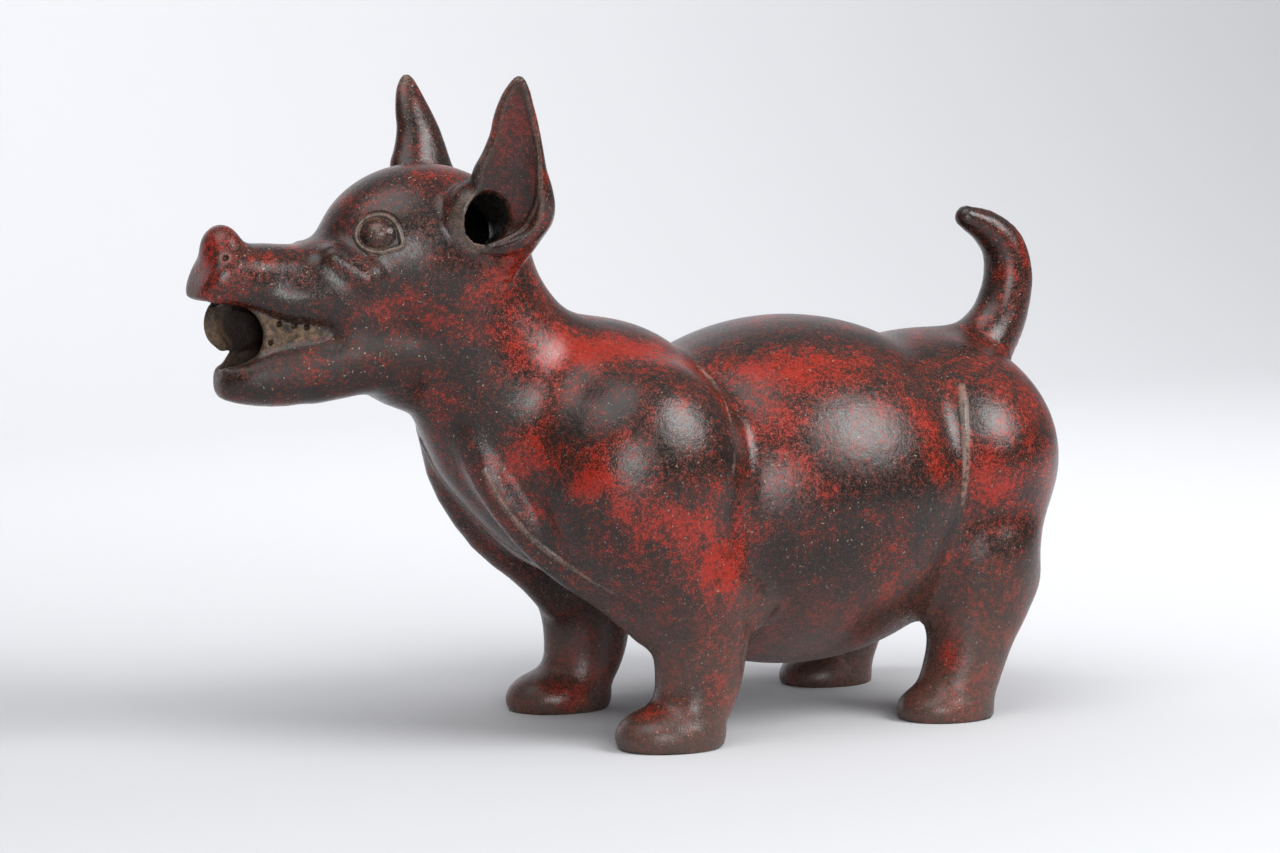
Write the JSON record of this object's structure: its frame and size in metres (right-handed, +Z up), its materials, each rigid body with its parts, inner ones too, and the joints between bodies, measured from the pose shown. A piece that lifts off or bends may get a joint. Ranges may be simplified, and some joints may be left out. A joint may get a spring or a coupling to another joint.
{
  "type": "ceramic dog figure",
  "caption": "Hollow burnished clay dog standing on short stout legs, with a barrel body, open mouth, pierced upright ears and a raised sickle tail.",
  "frame": {"origin": "on the surface that the soles stand on, in the middle of the figure's length and width", "axes": "+X runs from the nose to the rump, so the dog looks along -X, with its left side at -Y; +Z is up"},
  "size_m": [0.407, 0.1558, 0.281],
  "materials": {
    "burnished_clay": "burnished red slip with black clouds, satin gloss, dusty in the hollows"
  },
  "bodies": {
    "root": {"dog_vessel": "burnished_clay"}
  },
  "joints": []
}
